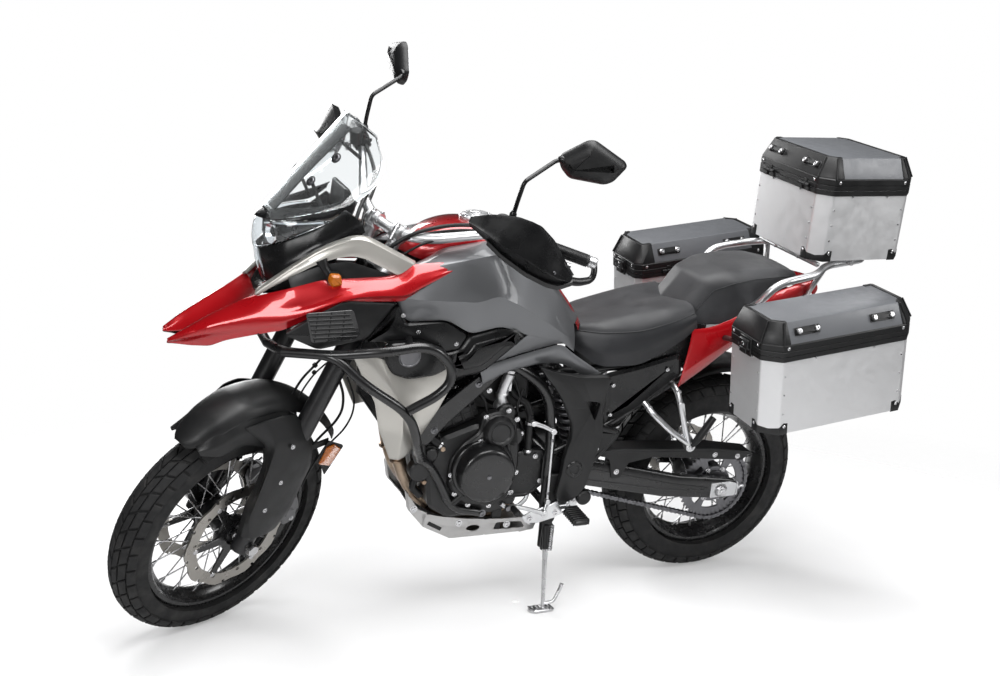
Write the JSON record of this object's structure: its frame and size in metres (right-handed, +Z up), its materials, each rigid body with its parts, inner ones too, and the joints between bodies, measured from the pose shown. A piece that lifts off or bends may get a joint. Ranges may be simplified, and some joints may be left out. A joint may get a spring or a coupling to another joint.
{
  "type": "adventure motorcycle",
  "caption": "Adventure touring motorcycle leaning on its side stand, with spoked wheels, crash bars, tall screen and aluminium luggage boxes.",
  "frame": {"origin": "on the ground, under the middle of the parked machine's bounding box", "axes": "+X to the front of the machine, +Y to its left, +Z up"},
  "size_m": [2.2577, 1.0002, 1.5968],
  "materials": {
    "alloy": "satin",
    "amber_lens": "gloss",
    "black_plastic": "matte",
    "box_alloy": "satin",
    "engine_black": "satin",
    "fork_black": "satin",
    "frame_black": "satin",
    "grey_paint": "satin",
    "header_brown": "satin",
    "hose_rubber": "satin",
    "lamp_lens": "gloss",
    "lid_grey": "satin",
    "red_lens": "gloss",
    "red_paint": "gloss",
    "rim_black": "gloss",
    "screen_clear": "gloss",
    "seat_cover": "matte",
    "silver_paint": "satin",
    "steel_bright": "brushed",
    "steel_dark": "brushed",
    "tyre": "matte"
  },
  "bodies": {
    "front_wheel": {"front_tyre": "tyre", "front_wheel": "rim_black", "front_discs": "steel_bright"},
    "rear_wheel": {"rear_tyre": "tyre", "rear_wheel": "rim_black", "rear_sprocket": "steel_dark", "rear_disc": "steel_bright"},
    "root": {"drive_chain": "steel_dark", "engine": "engine_black", "main_frame": "frame_black", "subframe": "frame_black", "swingarm": "frame_black", "rear_axle": "steel_bright", "rear_shock": "steel_dark", "rear_caliper": "fork_black", "chain_guard": "black_plastic", "exhaust": "header_brown", "radiator": "frame_black", "skid_plate": "alloy", "crash_bars": "frame_black", "fuel_tank": "red_paint", "tank_panels": "grey_paint", "lower_fairings": "silver_paint", "intake_panels": "black_plastic", "front_beak": "red_paint", "cowl_arches": "silver_paint", "headlight": "lamp_lens", "front_cowl": "black_plastic", "instrument_panel": "black_plastic", "windscreen": "screen_clear", "turn_signals": "amber_lens", "rider_seat": "seat_cover", "passenger_seat": "seat_cover", "tail_panels": "red_paint", "side_covers": "black_plastic", "tail_light": "red_lens", "rear_fender": "black_plastic", "luggage_rack": "alloy", "pannier_racks": "frame_black", "pannier_left": "box_alloy", "pannier_right": "box_alloy", "top_case": "box_alloy", "footrests": "alloy", "foot_controls": "steel_bright"},
    "steering": {"fork_legs": "fork_black", "fork_guards": "black_plastic", "front_axle": "steel_bright", "triple_clamps": "alloy", "handlebar": "alloy", "hand_controls": "black_plastic", "hand_guards": "black_plastic", "mirrors": "black_plastic", "front_calipers": "fork_black", "brake_hoses": "hose_rubber", "front_fender": "black_plastic"},
    "pannier_lid_left": {"pannier_lid_left": "lid_grey"},
    "pannier_lid_right": {"pannier_lid_right": "lid_grey"},
    "top_case_lid": {"top_case_lid": "lid_grey"},
    "side_stand": {"side_stand": "steel_bright"},
    "fuel_cap": {"fuel_cap": "alloy"}
  },
  "joints": [
    {"name": "steering", "type": "hinge", "parent": "root", "child": "steering", "pos_m": [0.79421, -0.09722, 0.29643], "axis": [-0.4329, 0.172, 0.8849], "range_deg": [-60, 0]},
    {"name": "front_wheel_spin", "type": "hinge", "parent": "steering", "child": "front_wheel", "pos_m": [0.82934, -0.07191, 0.3087], "axis": [-0.4507, 0.8088, -0.3777], "continuous": true},
    {"name": "rear_wheel_spin", "type": "hinge", "parent": "root", "child": "rear_wheel", "pos_m": [-0.64525, -0.09332, 0.31648], "axis": [0, 0.9816, -0.1908], "continuous": true},
    {"name": "side_stand_fold", "type": "hinge", "parent": "root", "child": "side_stand", "pos_m": [-0.07139, 0.04729, 0.26422], "axis": [0, 0.9816, -0.1908], "range_deg": [0, 88]},
    {"name": "left_pannier_lid", "type": "hinge", "parent": "root", "child": "pannier_lid_left", "pos_m": [-0.61529, 0.27841, 0.82693], "axis": [0.9929, -0.0227, -0.117], "range_deg": [0, 75]},
    {"name": "right_pannier_lid", "type": "hinge", "parent": "root", "child": "pannier_lid_right", "pos_m": [-0.61529, -0.24676, 0.92901], "axis": [-0.9929, 0.0227, 0.117], "range_deg": [0, 75]},
    {"name": "top_case_lid", "type": "hinge", "parent": "root", "child": "top_case_lid", "pos_m": [-0.7991, 0.08498, 1.23376], "axis": [0, 0.9816, -0.1908], "range_deg": [0, 75]},
    {"name": "fuel_cap_lid", "type": "hinge", "parent": "root", "child": "fuel_cap", "pos_m": [0.20179, 0.06522, 1.13211], "axis": [0, 0.9816, -0.1908], "range_deg": [0, 95]}
  ]
}
